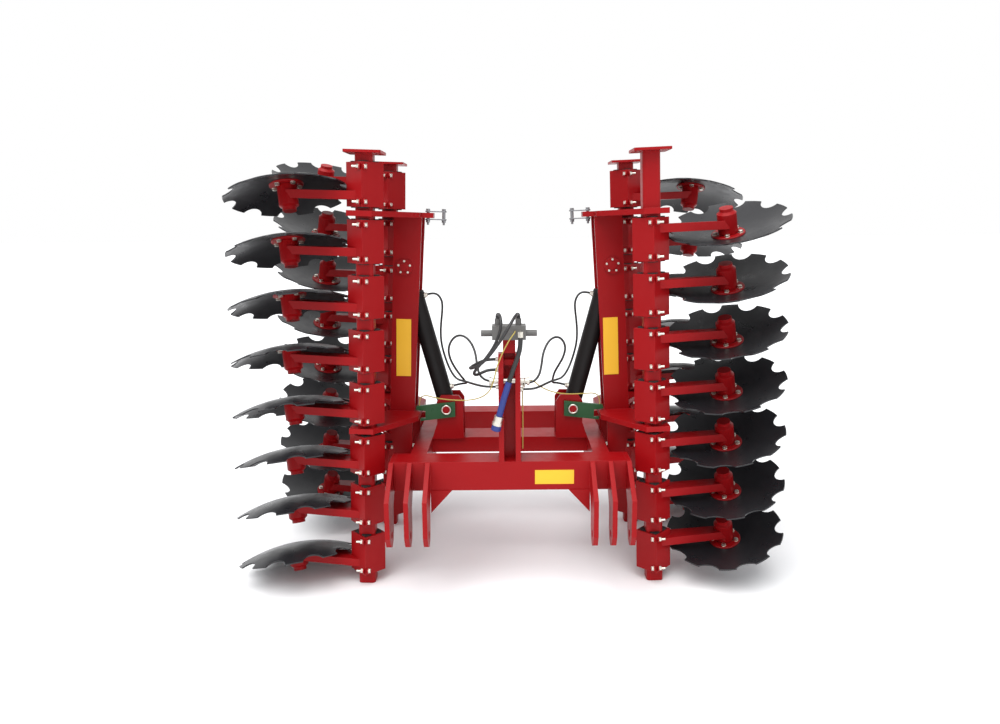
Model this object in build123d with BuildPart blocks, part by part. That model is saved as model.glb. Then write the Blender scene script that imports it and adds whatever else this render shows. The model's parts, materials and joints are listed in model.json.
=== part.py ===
"""Folding disc harrow for a three point hitch, parked with both wings folded up.

Millimetres, +Z up, +X to the right of someone who stands in front of the hitch, +Y to the rear.
The machine stands on the lower ends of its four wing beams, at Z = 0.
"""

import os
from math import asin, atan2, cos, degrees, hypot, pi, radians, sin, sqrt, tan

from build123d import *

os.makedirs("parts", exist_ok=True)

# Driving dimensions of the wing beams and their place
tube_side = 80.0
tube_wall = 8.0
tube_corner = 16.0
beam_length = 2052.0
beam_foot_x = 708.7
wing_lean = 2.14
front_beam_y = -384.8
row_spacing = 727.0
beam_cap_side = 165.0
beam_cap_thickness = 12.0

# Rubber sprung clamps along each beam
clamp_count = 8
clamp_pitch = 250.0
first_clamp = 155.5
clamp_height = 194.0
clamp_wall = 8.0
clamp_play = 1.0
rubber_play = 0.3
rubber_flat = 9.0

# Arms, hubs and discs
arm_reach = 368.0
arm_trail = 57.0
arm_thickness = 38.0
arm_root_depth = 100.0
arm_tip_depth = 78.0
arm_offset = 47.0
hub_radius = 44.0
hub_length = 104.0
hub_cap_radius = 31.0
hub_cap_height = 14.0
disc_diameter = 560.0
disc_thickness = 6.0
dish_depth = 62.0
flange_radius = 75.0
flange_height = 13.0
hub_gap = 0.4
notch_count = 10
notch_radius = 50.0
notch_depth = 38.0
gang_angle = 16.0
undercut_angle = 10.0

# Centre frame
crossbeam_side = 140.0
crossbeam_wall = 10.0
crossbeam_bottom = 493.0
front_crossbeam_y = front_beam_y - 13.0
rear_crossbeam_y = front_beam_y + 927.0
middle_beam_y = front_beam_y + 412.0
middle_beam_depth = 170.0
middle_beam_height = 80.0
rail_inner_x = 405.0
rail_width = 80.0
rail_wall = 8.0

# Fold hinges between the centre frame and the wings
hinge_x = 535.0
hinge_z = 515.0
crossbeam_past_hinge = 14.0
hinge_pin_radius = 20.0
pin_play = 0.3
hinge_arm_radius = 34.0
hinge_arm_thickness = 25.0
hinge_lug_thickness = 15.0
hinge_side_gap = 3.0
hinge_stations = (front_beam_y + 202.0, front_beam_y + 562.0)
pin_head_radius = 27.0
pin_head_thickness = 8.0

# Wing frame between the two beams of a wing
rib_thickness = 25.0
rib_pad = 72.0
rib_level = (3, 7)
spine_inner = (-190.0, -222.0)
spine_outer = (-65.0, -85.0)
spine_plate = 15.0
spine_gap = 120.0
rib_nose_reach = 277.0
rib_nose_width = 70.0
fork_reach = 362.0
fork_bar_thickness = 9.0
fork_bar_width = 42.0

# Fold cylinders
cylinder_y = front_beam_y + 367.0
base_pin_x = 325.0
base_pin_z = 795.0
upper_pin_in = 137.0
upper_pin_along = 1526.0
barrel_radius = 45.0
barrel_length = 612.0
rod_radius = 25.0
rod_play = 0.3
rod_overlap = 30.0
cylinder_eye_radius = 40.0
cylinder_pin_radius = 17.5
rod_eye_width = 66.0
bracket_thickness = 15.0
bracket_side_gap = 5.0

# Hitch
hitch_plate_steps = (172.0, 87.0, 0.0)
hitch_plate_thickness = 22.0
hitch_bore_radius = 18.5
hitch_bore_forward = 122.0
hitch_bore_z = 322.0
headstock_height = 507.0
cheek_thickness = 24.0
cheek_gap = 54.0
top_pin_radius = 12.5
top_pin_length = 166.0
top_pin_z = 1013.0

# Transport latches
latch_thickness = 18.0
latch_height = 78.0
catch_pin_radius = 12.0
catch_pin_x = 452.0
catch_pin_z = 768.0
latch_clearance = 7.0
lug_thickness = 12.0

# Values that follow from the driving dimensions
tube_half = tube_side / 2
tube_half_diagonal = tube_half * sqrt(2) - tube_corner * (sqrt(2) - 1)
clamp_inner_half = tube_half_diagonal + clamp_play
clamp_outer_half = clamp_inner_half + clamp_wall
rear_beam_y = front_beam_y + row_spacing
crossbeam_top = crossbeam_bottom + crossbeam_side
frame_half_width = hinge_x + crossbeam_past_hinge
outer_plate_x = frame_half_width + hitch_plate_thickness / 2
hitch_plate_x = [outer_plate_x - step for step in hitch_plate_steps]
rail_outer_x = rail_inner_x + rail_width
half = disc_diameter / 2
dish_radius = (half**2 + dish_depth**2) / (2 * dish_depth)
spine_front_y = cylinder_y - spine_gap / 2
spine_rear_y = cylinder_y + spine_gap / 2
bracket_gap = 2 * (barrel_radius + bracket_side_gap)

SIDES = {"left": -1, "right": 1}
ROWS = {"front": front_beam_y, "rear": rear_beam_y}


def wing_frame(side):
    """Place of a wing: origin at the beams' foot, Z along the beams, side * X outboard."""
    lean = radians(wing_lean)
    return Plane(
        origin=(side * beam_foot_x, 0, tube_half * sin(lean)),
        x_dir=(cos(lean), 0, side * sin(lean)),
        z_dir=(-side * sin(lean), 0, cos(lean)),
    )


def on_wing(side, plane):
    """A plane given in a wing's own coordinates, in the machine's coordinates."""
    return Plane(wing_frame(side).location * plane.location)


def hub_side(side, row):
    """+1 where the hubs of a row lie above their discs in the parked pose, -1 below."""
    return side if row == "front" else -side


def clamp_heights(side, row):
    """Middle of each clamp along its beam; the front right beam carries one clamp less."""
    count = clamp_count - 1 if (side, row) == (1, "front") else clamp_count
    return [first_clamp + clamp_pitch * index for index in range(count)]


def disc_axis(side, toward):
    """Axis of a disc in wing coordinates, from its flange to its hub."""
    gang = radians(gang_angle)
    under = radians(undercut_angle)
    return Vector(
        -side * sin(under), -sin(gang) * cos(under), toward * cos(gang) * cos(under)
    )


def disc_plane(side, row, height):
    """Plane of a disc's flange in wing coordinates."""
    return Plane(
        origin=(side * arm_reach, ROWS[row] + arm_trail, height),
        z_dir=disc_axis(side, hub_side(side, row)),
    )


# Notched dished disc with its hub flange, axis along Z, flange at the bottom of the dish
with BuildPart() as blade:
    with BuildSketch(Plane.XZ):
        with BuildLine():
            inner = dish_radius - disc_thickness / 2
            outer = dish_radius + disc_thickness / 2
            rim = asin(half / dish_radius)
            seat = asin(flange_radius / inner)
            rim_out = (outer * sin(rim), dish_radius - outer * cos(rim))
            rim_in = (inner * sin(rim), dish_radius - inner * cos(rim))
            seat_in = (inner * sin(seat), dish_radius - inner * cos(seat))
            bottom = (0, dish_radius - outer)
            RadiusArc(bottom, rim_out, -outer)
            Line(rim_out, rim_in)
            RadiusArc(rim_in, seat_in, inner)
            Polyline(seat_in, (flange_radius, flange_height), (0, flange_height), bottom)
        make_face()
    revolve(axis=Axis.Z)
    with PolarLocations(half + notch_radius - notch_depth, notch_count):
        Cylinder(notch_radius, 4 * dish_depth, mode=Mode.SUBTRACT)

# Clamp housing with its arm and hub, as on the right wing with the hub above the disc
hub_plane = Plane(origin=(arm_reach, arm_trail, 0), z_dir=disc_axis(1, 1))
hub_start = flange_height + hub_gap
hub_end = hub_start + hub_length
hub_mid = hub_plane.origin + disc_axis(1, 1) * (hub_start + hub_length / 2)
with BuildPart() as arm_unit:
    with BuildSketch(Plane.XY.offset(-clamp_height / 2)):
        Rectangle(2 * clamp_outer_half, 2 * clamp_outer_half, rotation=45)
        Rectangle(
            2 * clamp_inner_half, 2 * clamp_inner_half, rotation=45, mode=Mode.SUBTRACT
        )
    extrude(amount=clamp_height)
    with BuildSketch(Plane.XY.offset(arm_offset - arm_thickness / 2)) as arm_plan:
        with BuildLine():
            root = clamp_outer_half * sqrt(2) - arm_root_depth / 2
            Polyline(
                (root, -arm_root_depth / 2),
                (hub_mid.X, hub_mid.Y - arm_tip_depth / 2),
                (hub_mid.X, hub_mid.Y + arm_tip_depth / 2),
                (root, arm_root_depth / 2),
                (clamp_outer_half * sqrt(2), 0),
                close=True,
            )
        make_face()
    extrude(amount=arm_thickness)
    with BuildSketch(Plane(hub_plane.origin, x_dir=hub_plane.x_dir, z_dir=-hub_plane.y_dir)):
        with BuildLine():
            Polyline(
                (0, hub_start),
                (hub_radius, hub_start),
                (hub_radius, hub_end - hub_radius / 4),
                (hub_cap_radius, hub_end),
                (hub_cap_radius, hub_end + hub_cap_height),
                (0, hub_end + hub_cap_height),
                close=True,
            )
        make_face()
    revolve(axis=Axis(hub_plane.origin, hub_plane.z_dir))

# One rubber rod of a clamp, squeezed between a flat of the beam and a corner of the housing
with BuildPart() as rubber:
    with BuildSketch(Plane.XY.offset(-clamp_height / 2 - rubber_flat / 2)):
        with BuildLine():
            near = tube_half + rubber_play
            far = (clamp_inner_half - rubber_play) * sqrt(2)
            wide = far - near - rubber_flat
            Polyline(
                (near, -wide),
                (near + rubber_flat, -wide),
                (far - rubber_flat, -rubber_flat),
                (far - rubber_flat, rubber_flat),
                (near + rubber_flat, wide),
                (near, wide),
                close=True,
            )
        make_face()
    extrude(amount=clamp_height + rubber_flat)

# The left wing and the lower hubs use mirrored arms
ARM_UNITS = {
    (1, 1): arm_unit.part,
    (1, -1): arm_unit.part.mirror(Plane.XY),
    (-1, 1): arm_unit.part.mirror(Plane.YZ),
    (-1, -1): arm_unit.part.mirror(Plane.XY).mirror(Plane.YZ),
}


def save(name, part):
    """Label a finished piece and write it."""
    part.label = name
    export_step(part, f"parts/{name}.step")


# Beams, wing frames, clamps with arms, rubbers and discs of both wings
for wing, side in SIDES.items():
    with BuildPart(wing_frame(side)) as beams:
        for row, row_y in ROWS.items():
            with BuildSketch(on_wing(side, Plane(origin=(0, row_y, 0)))):
                RectangleRounded(tube_side, tube_side, tube_corner)
                RectangleRounded(
                    tube_side - 2 * tube_wall,
                    tube_side - 2 * tube_wall,
                    tube_corner - tube_wall,
                    mode=Mode.SUBTRACT,
                )
            extrude(amount=beam_length - beam_cap_thickness)
            cap_z = beam_length - beam_cap_thickness
            with BuildSketch(on_wing(side, Plane(origin=(0, row_y, cap_z)))):
                RectangleRounded(beam_cap_side, beam_cap_side, tube_wall)
            extrude(amount=beam_cap_thickness)
    save(f"beams_{wing}", beams.part)

    with BuildPart(wing_frame(side)) as frame:
        # Ribs in the gaps between two clamps
        for index in rib_level:
            rib_z = first_clamp + clamp_pitch * (index - 0.5) - rib_thickness / 2
            with BuildSketch(on_wing(side, Plane.XY.offset(rib_z))):
                with BuildLine():
                    Polyline(
                        (side * rib_pad, front_beam_y - rib_pad),
                        (side * rib_pad, front_beam_y + rib_pad),
                        (side * spine_outer[0], spine_front_y),
                        (side * spine_outer[0], spine_rear_y),
                        (side * rib_pad, rear_beam_y - rib_pad),
                        (side * rib_pad, rear_beam_y + rib_pad),
                        (-side * tube_half, rear_beam_y + rib_pad),
                        (side * spine_inner[1], spine_rear_y + spine_gap),
                        (side * spine_inner[1], spine_front_y - spine_gap),
                        (-side * tube_half, front_beam_y - rib_pad),
                        close=True,
                    )
                make_face()
                if index == rib_level[1]:
                    with BuildLine():
                        Polyline(
                            (side * spine_inner[1], spine_front_y - spine_plate),
                            (-side * rib_nose_reach, cylinder_y - rib_nose_width),
                            (-side * rib_nose_reach, cylinder_y),
                            (side * spine_inner[1], spine_rear_y),
                            close=True,
                        )
                    make_face()
                with Locations((0, front_beam_y), (0, rear_beam_y)):
                    RectangleRounded(
                        tube_side + 2 * rubber_play,
                        tube_side + 2 * rubber_play,
                        tube_corner,
                        mode=Mode.SUBTRACT,
                    )
            extrude(amount=rib_thickness)
        # Spine: a front plate, a rear plate and the web on the outboard side
        low = first_clamp + clamp_pitch * (rib_level[0] - 0.5)
        high = first_clamp + clamp_pitch * (rib_level[1] - 0.5)
        for plate_y in (spine_front_y, spine_rear_y + spine_plate):
            with BuildSketch(on_wing(side, Plane.XZ.offset(-plate_y))):
                with BuildLine():
                    Polyline(
                        (side * spine_inner[0], low),
                        (side * spine_outer[0], low),
                        (side * spine_outer[1], high),
                        (side * spine_inner[1], high),
                        close=True,
                    )
                make_face()
            extrude(amount=spine_plate)
        with BuildSketch(on_wing(side, Plane.XZ.offset(-spine_rear_y))):
            with BuildLine():
                Polyline(
                    (side * (spine_outer[0] - spine_plate), low),
                    (side * spine_outer[0], low),
                    (side * spine_outer[1], high),
                    (side * (spine_outer[1] - spine_plate), high),
                    close=True,
                )
            make_face()
        extrude(amount=spine_gap)
        # Hinge arms from the lower rib down to the hinge pins
        hinge = wing_frame(side).to_local_coords(Vector(side * hinge_x, 0, hinge_z))
        for station in hinge_stations:
            arm_y = station + hinge_arm_thickness / 2
            with BuildSketch(on_wing(side, Plane.XZ.offset(-arm_y))):
                with BuildLine():
                    Polyline(
                        (hinge.X - hinge_arm_radius, hinge.Z),
                        (hinge.X + hinge_arm_radius, hinge.Z),
                        (side * spine_outer[0], low),
                        (side * spine_inner[0], low),
                        close=True,
                    ) if side > 0 else Polyline(
                        (hinge.X + hinge_arm_radius, hinge.Z),
                        (hinge.X - hinge_arm_radius, hinge.Z),
                        (side * spine_outer[0], low),
                        (side * spine_inner[0], low),
                        close=True,
                    )
                make_face()
                with Locations((hinge.X, hinge.Z)):
                    Circle(hinge_arm_radius)
                    Circle(hinge_pin_radius + pin_play, mode=Mode.SUBTRACT)
            extrude(amount=hinge_arm_thickness)
        # Round boss over the upper cylinder pin
        with BuildSketch(on_wing(side, Plane.XZ.offset(-spine_front_y + spine_plate))):
            with Locations((-side * upper_pin_in, upper_pin_along)):
                Circle(cylinder_eye_radius)
        extrude(amount=rib_thickness / 2)
    save(f"frame_{wing}", frame.part)

    for row, row_y in ROWS.items():
        unit = ARM_UNITS[side, hub_side(side, row)]
        with BuildPart(wing_frame(side)) as arms:
            with Locations(*[(0, row_y, height) for height in clamp_heights(side, row)]):
                add(unit, clean=False)
        save(f"arms_{row}_{wing}", arms.part)

    with BuildPart(wing_frame(side)) as rubbers:
        for row, row_y in ROWS.items():
            with Locations(*[(0, row_y, height) for height in clamp_heights(side, row)]):
                for turn in (0, 90, 180, 270):
                    add(rubber.part, rotation=(0, 0, turn), clean=False)
    save(f"rubbers_{wing}", rubbers.part)

    for row in ROWS:
        for number, height in enumerate(clamp_heights(side, row), 1):
            with BuildPart(on_wing(side, disc_plane(side, row, height))) as disc:
                add(blade.part, rotation=(0, 0, 7.0 * number), clean=False)
            save(f"disc_{row}_{wing}_{number}", disc.part)

# Centre frame: three crossbeams, two side rails and the hinge lugs
with BuildPart() as centre_frame:
    for beam_y in (front_crossbeam_y, rear_crossbeam_y):
        with BuildSketch(Plane.YZ.offset(-frame_half_width)):
            with Locations((beam_y, crossbeam_bottom + crossbeam_side / 2)):
                Rectangle(crossbeam_side, crossbeam_side)
                Rectangle(
                    crossbeam_side - 2 * crossbeam_wall,
                    crossbeam_side - 2 * crossbeam_wall,
                    mode=Mode.SUBTRACT,
                )
        extrude(amount=2 * frame_half_width)
    rail_start = front_crossbeam_y + crossbeam_side / 2
    rail_end = rear_crossbeam_y - crossbeam_side / 2
    for side in SIDES.values():
        rail_x = side * (rail_inner_x + rail_width / 2)
        with BuildSketch(Plane.XZ.offset(-rail_end)):
            with Locations((rail_x, crossbeam_bottom + crossbeam_side / 2)):
                Rectangle(rail_width, crossbeam_side)
                Rectangle(
                    rail_width - 2 * rail_wall, crossbeam_side - 2 * rail_wall, mode=Mode.SUBTRACT
                )
        extrude(amount=rail_end - rail_start)
        lug_step = hinge_arm_thickness / 2 + hinge_side_gap
        for station in hinge_stations:
            for lug_y in (station - lug_step, station + lug_step + hinge_lug_thickness):
                with BuildSketch(Plane.XZ.offset(-lug_y)):
                    with BuildLine():
                        Polyline(
                            (side * rail_outer_x, crossbeam_bottom),
                            (side * hinge_x, hinge_z - hinge_arm_radius),
                            (side * hinge_x, hinge_z + hinge_arm_radius),
                            (side * rail_outer_x, crossbeam_top),
                            close=True,
                        )
                    make_face()
                    with Locations((side * hinge_x, hinge_z)):
                        Circle(hinge_arm_radius)
                        Circle(hinge_pin_radius, mode=Mode.SUBTRACT)
                extrude(amount=hinge_lug_thickness)
    with Locations((0, middle_beam_y, crossbeam_top - middle_beam_height / 2)):
        Box(2 * rail_inner_x, middle_beam_depth, middle_beam_height)
save("centre_frame", centre_frame.part)

# Hitch plates on the front crossbeam, three on each side, with the gussets inboard
beam_face = front_crossbeam_y - crossbeam_side / 2
plate_profile = (
    (0, crossbeam_top),
    (-180, 500),
    (-186, 330),
    (-160, 280),
    (-120, 262),
    (-80, 280),
    (-58, 330),
    (-50, 430),
    (0, crossbeam_bottom),
)
with BuildPart() as hitch_plates:
    for side in SIDES.values():
        for number, plate_x in enumerate(hitch_plate_x):
            start = side * plate_x - hitch_plate_thickness / 2
            with BuildSketch(Plane.YZ.offset(start)):
                with BuildLine():
                    Polyline(*[(beam_face + y, z) for y, z in plate_profile], close=True)
                make_face()
                with Locations((beam_face - hitch_bore_forward, hitch_bore_z)):
                    Circle(hitch_bore_radius, mode=Mode.SUBTRACT)
            extrude(amount=hitch_plate_thickness)
            if number == 2:
                with BuildSketch(Plane.YZ.offset(start)):
                    with Locations((front_crossbeam_y, crossbeam_bottom + crossbeam_side / 2)):
                        Rectangle(crossbeam_side, crossbeam_side)
                extrude(amount=hitch_plate_thickness)
        gusset_x = hitch_plate_x[0] - hitch_plate_thickness / 2
        with BuildSketch(Plane.XZ.offset(-beam_face - 6)):
            with BuildLine():
                Polyline(
                    (side * gusset_x, crossbeam_bottom),
                    (side * gusset_x, crossbeam_bottom - 110),
                    (side * (gusset_x - 100), crossbeam_bottom),
                    close=True,
                )
            make_face()
        extrude(amount=12)
save("hitch_plates", hitch_plates.part)

# Headstock: two cheeks with a web between them and the neck that carries the valve
headstock_depth = crossbeam_side
cheek_outer = cheek_gap / 2 + cheek_thickness
with BuildPart() as headstock:
    for side in SIDES.values():
        start = side * (cheek_gap + cheek_thickness) / 2 - cheek_thickness / 2
        with BuildSketch(Plane.YZ.offset(start)):
            with BuildLine():
                Polyline(
                    (beam_face, crossbeam_top),
                    (beam_face, crossbeam_top + 420),
                    (beam_face + 40, crossbeam_top + headstock_height),
                    (beam_face + 100, crossbeam_top + headstock_height),
                    (beam_face + headstock_depth, crossbeam_top),
                    close=True,
                )
            make_face()
            with Locations((beam_face + 40, top_pin_z)):
                Circle(top_pin_radius, mode=Mode.SUBTRACT)
        extrude(amount=cheek_thickness)
    with Locations((0, beam_face + 90, crossbeam_top + 270)):
        Box(cheek_gap, 12, 540)
    with Locations((0, beam_face + 78, crossbeam_top + headstock_height + 33)):
        Box(58, 36, 66)
save("headstock", headstock.part)

# Directional valve block on the neck, with its side and top fittings
valve_bottom = crossbeam_top + headstock_height + 66
with BuildPart() as valve_block:
    with Locations((0, beam_face + 78, valve_bottom + 32)):
        Box(156, 90, 64)
    with Locations((-52, beam_face + 78, valve_bottom + 64), (44, beam_face + 78, valve_bottom + 64)):
        Cylinder(14, 30, align=(Align.CENTER, Align.CENTER, Align.MIN))
    with BuildSketch(Plane.YZ.offset(-130)):
        with Locations((beam_face + 78, valve_bottom + 26)):
            Circle(15)
    extrude(amount=260)
save("valve_block", valve_block.part)

# Brackets that carry the feet of the fold cylinders
with BuildPart() as brackets:
    for side in SIDES.values():
        for plate_y in (
            cylinder_y - bracket_gap / 2,
            cylinder_y + bracket_gap / 2 + bracket_thickness,
        ):
            with BuildSketch(Plane.XZ.offset(-plate_y)):
                with BuildLine():
                    Polyline(
                        (side * 239, crossbeam_top),
                        (side * 239, 830),
                        (side * 262, 864),
                        (side * 352, 864),
                        (side * 376, 830),
                        (side * 376, 715),
                        (side * 404, crossbeam_top),
                        close=True,
                    )
                make_face()
                with Locations((side * base_pin_x, base_pin_z)):
                    Circle(cylinder_pin_radius, mode=Mode.SUBTRACT)
            extrude(amount=bracket_thickness)
save("cylinder_brackets", brackets.part)

# Pins: fold hinges, cylinder feet and the top link pin
bracket_front = cylinder_y - bracket_gap / 2 - bracket_thickness
bracket_rear = cylinder_y + bracket_gap / 2 + bracket_thickness
latch_front = bracket_front - latch_thickness - 2
with BuildPart() as pins:
    lug_out = hinge_arm_thickness / 2 + hinge_side_gap + hinge_lug_thickness
    for side in SIDES.values():
        for station in hinge_stations:
            with BuildSketch(Plane.XZ.offset(-station - lug_out)):
                with Locations((side * hinge_x, hinge_z)):
                    Circle(hinge_pin_radius)
            extrude(amount=2 * lug_out)
            for head_y in (station - lug_out, station + lug_out + pin_head_thickness):
                with BuildSketch(Plane.XZ.offset(-head_y)):
                    with Locations((side * hinge_x, hinge_z)):
                        Circle(pin_head_radius)
                extrude(amount=pin_head_thickness)
        with BuildSketch(Plane.XZ.offset(-bracket_rear - 12)):
            with Locations((side * base_pin_x, base_pin_z)):
                Circle(cylinder_pin_radius)
        extrude(amount=bracket_rear + 12 - latch_front + 8)
    with BuildSketch(Plane.YZ.offset(-top_pin_length / 2)):
        with Locations((beam_face + 40, top_pin_z)):
            Circle(top_pin_radius)
    extrude(amount=top_pin_length)
save("pins", pins.part)

# Transport latches that turn on the front ends of the cylinder pins, open to the outside
with BuildPart() as latches:
    for side in SIDES.values():
        with BuildSketch(Plane.XZ.offset(-bracket_front + 2)):
            with BuildLine():
                slot = catch_pin_radius + latch_clearance
                Polyline(
                    (side * (base_pin_x - 45), base_pin_z + latch_height / 2),
                    (side * (catch_pin_x + 26), catch_pin_z + slot + 26),
                    (side * (catch_pin_x + 30), catch_pin_z + slot + 8),
                    (side * (catch_pin_x - slot), catch_pin_z + slot),
                    (side * (catch_pin_x - slot), catch_pin_z - slot),
                    (side * (catch_pin_x + 10), catch_pin_z - slot),
                    (side * (catch_pin_x + 6), catch_pin_z - slot - 14),
                    (side * (base_pin_x - 45), base_pin_z - latch_height / 2),
                    close=True,
                )
            make_face()
            with Locations((side * base_pin_x, base_pin_z)):
                Circle(cylinder_pin_radius, mode=Mode.SUBTRACT)
        extrude(amount=latch_thickness)
save("latches", latches.part)

# Fold cylinders: the barrel turns on the base pin, the rod reaches the pin in the spine
for wing, side in SIDES.items():
    base = Vector(side * base_pin_x, cylinder_y, base_pin_z)
    top = (
        wing_frame(side).location
        * Location((-side * upper_pin_in, cylinder_y, upper_pin_along))
    ).position
    stretch = top - base
    axis_plane = Plane(origin=base, x_dir=(0, 1, 0), z_dir=stretch)
    with BuildPart(axis_plane) as barrel:
        with BuildSketch(axis_plane.offset(cylinder_eye_radius / 2)):
            Circle(barrel_radius)
        extrude(amount=barrel_length - cylinder_eye_radius / 2)
        with BuildSketch(axis_plane.offset(barrel_length)):
            Circle(rod_radius + rod_play)
        extrude(amount=-(barrel_length - cylinder_eye_radius - 15), mode=Mode.SUBTRACT)
        with BuildSketch(Plane.XZ.offset(-cylinder_y - barrel_radius + bracket_side_gap)):
            with Locations((base.X, base.Z)):
                Circle(cylinder_eye_radius)
        extrude(amount=2 * (barrel_radius - bracket_side_gap))
        with BuildSketch(Plane.XZ.offset(-cylinder_y - barrel_radius)):
            with Locations((base.X, base.Z)):
                Circle(cylinder_pin_radius + pin_play)
        extrude(amount=2 * barrel_radius, mode=Mode.SUBTRACT)
    save(f"barrel_{wing}", barrel.part)

    closed = stretch.length
    with BuildPart(axis_plane) as rod:
        with BuildSketch(axis_plane.offset(closed)):
            Circle(rod_radius)
        extrude(amount=-(closed - cylinder_eye_radius - 15 - 20))
        with BuildSketch(Plane.XZ.offset(-cylinder_y - rod_eye_width / 2)):
            with Locations((top.X, top.Z)):
                Circle(cylinder_eye_radius)
        extrude(amount=rod_eye_width)
        with BuildSketch(Plane.XZ.offset(-cylinder_y - spine_gap / 2 + bracket_side_gap)):
            with Locations((top.X, top.Z)):
                Circle(cylinder_pin_radius)
        extrude(amount=spine_gap - 2 * bracket_side_gap)
    save(f"rod_{wing}", rod.part)
    print(wing, "cylinder pin to pin", round(closed, 2), "top", top)
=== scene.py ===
# %% [markdown]
# # A folding disc harrow in its parked pose
#
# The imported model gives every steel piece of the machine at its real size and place. This lesson
# dresses it: the camera and the light first, then one finish after another, and last the small
# pieces that a builder leaves to the workshop, such as bolts, nuts, flanges, fittings and hoses.

import json
from collections import namedtuple
from math import cos, pi, radians, sin, sqrt

import bpy
from mathutils import Euler, Matrix, Vector


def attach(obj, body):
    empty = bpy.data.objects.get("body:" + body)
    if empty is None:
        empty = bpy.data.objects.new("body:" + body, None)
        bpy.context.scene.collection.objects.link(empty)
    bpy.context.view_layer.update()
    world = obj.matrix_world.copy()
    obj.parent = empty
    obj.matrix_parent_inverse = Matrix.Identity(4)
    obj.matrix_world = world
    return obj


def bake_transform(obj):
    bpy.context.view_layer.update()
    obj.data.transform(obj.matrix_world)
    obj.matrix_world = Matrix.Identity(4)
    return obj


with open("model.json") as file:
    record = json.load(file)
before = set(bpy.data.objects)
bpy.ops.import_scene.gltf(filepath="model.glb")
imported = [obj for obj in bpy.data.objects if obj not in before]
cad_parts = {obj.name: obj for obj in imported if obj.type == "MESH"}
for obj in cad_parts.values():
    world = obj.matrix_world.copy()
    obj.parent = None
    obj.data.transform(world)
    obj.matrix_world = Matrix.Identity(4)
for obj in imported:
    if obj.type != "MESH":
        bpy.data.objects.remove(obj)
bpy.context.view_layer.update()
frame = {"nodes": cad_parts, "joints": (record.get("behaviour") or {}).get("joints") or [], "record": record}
nodes = frame["nodes"]
joints = {joint["name"]: joint for joint in frame["joints"]}

# %% [markdown]
# ## The camera
#
# The photograph was taken from about two thirds of the machine's height, a little less than four
# metres in front of it, with a wide lens. The lens, the place and the small tilt below come from
# fitting the clamp bolts, which repeat at a known pitch, so the render lines up with the photograph.

# %% Place the camera
CAMERA_PLACE = (0.0, -3.8375, 1.7531)
CAMERA_DOWN = radians(11.56)
CAMERA_ROLL = radians(-0.5)
CAMERA_LENS = 27.0
CAMERA_SENSOR = 36.0
CAMERA_SHIFT = (-0.0093, 0.0099)

bpy.ops.object.camera_add(location=CAMERA_PLACE)
camera = bpy.context.object
camera.name = "photo_camera"
turn = Euler((pi / 2 - CAMERA_DOWN, 0, 0)).to_matrix() @ Matrix.Rotation(CAMERA_ROLL, 3, "Z")
camera.rotation_euler = turn.to_euler()
camera.data.lens = CAMERA_LENS
camera.data.sensor_width = CAMERA_SENSOR
camera.data.shift_x, camera.data.shift_y = CAMERA_SHIFT
bpy.context.scene.camera = camera
print("camera at", CAMERA_PLACE)

# %% [markdown]
# ## Floor, sky and light
#
# A studio for a machine of this size is an overcast sky: a bright, even world, and two wide suns
# that give the edges a soft direction. Straight to the camera, in reflections and through glass the
# world is plain white, so the background turns white without more light falling on the paint.

# %% Lay the floor and set the lights
FLOOR_SIDE = 120.0
FLOOR_COLOUR = (0.93, 0.93, 0.935, 1.0)
FLOOR_ROUGHNESS = 0.9
FLOOR_SHINE = 0.2
SKY_COLOUR = (0.95, 0.97, 1.0, 1.0)
SKY_LEVEL = 0.62
SEEN_COLOUR = (1.0, 1.0, 1.0, 1.0)
SUN_PLACE = (0, -4, 6)
SUNS = {
    # name: (elevation from the zenith, heading, strength, angular size)
    "sun_key": (radians(27), radians(-35), 3.30, radians(60)),
    "sun_fill": (radians(62), radians(40), 0.55, radians(70)),
}

bpy.ops.mesh.primitive_plane_add(size=FLOOR_SIDE, location=(0, 0, 0))
floor = bpy.context.object
floor.name = "studio_floor"
floor_finish = bpy.data.materials.new("studio floor")
floor_finish.use_nodes = True
floor_shader = floor_finish.node_tree.nodes["Principled BSDF"]
floor_shader.inputs["Base Color"].default_value = FLOOR_COLOUR
floor_shader.inputs["Roughness"].default_value = FLOOR_ROUGHNESS
floor_shader.inputs["Specular IOR Level"].default_value = FLOOR_SHINE
floor.data.materials.append(floor_finish)

for name, (tilt, heading, strength, spread) in SUNS.items():
    bpy.ops.object.light_add(type="SUN", location=SUN_PLACE)
    sun = bpy.context.object
    sun.name = name
    sun.rotation_euler = (tilt, 0, heading)
    sun.data.energy = strength
    sun.data.angle = spread

world = bpy.data.worlds.new("overcast")
bpy.context.scene.world = world
world.use_nodes = True
sky = world.node_tree
sky.nodes.clear()
sky_light = sky.nodes.new("ShaderNodeBackground")
sky_light.inputs["Color"].default_value = SKY_COLOUR
sky_light.inputs["Strength"].default_value = SKY_LEVEL
sky_seen = sky.nodes.new("ShaderNodeBackground")
sky_seen.inputs["Color"].default_value = SEEN_COLOUR
sky_seen.inputs["Strength"].default_value = 1.0
ray = sky.nodes.new("ShaderNodeLightPath")
camera_or_gloss = sky.nodes.new("ShaderNodeMath")
camera_or_gloss.operation = "MAXIMUM"
seen = sky.nodes.new("ShaderNodeMath")
seen.operation = "MAXIMUM"
blend_sky = sky.nodes.new("ShaderNodeMixShader")
sky_out = sky.nodes.new("ShaderNodeOutputWorld")
sky.links.new(ray.outputs["Is Camera Ray"], camera_or_gloss.inputs[0])
sky.links.new(ray.outputs["Is Glossy Ray"], camera_or_gloss.inputs[1])
sky.links.new(camera_or_gloss.outputs[0], seen.inputs[0])
sky.links.new(ray.outputs["Is Transmission Ray"], seen.inputs[1])
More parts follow.
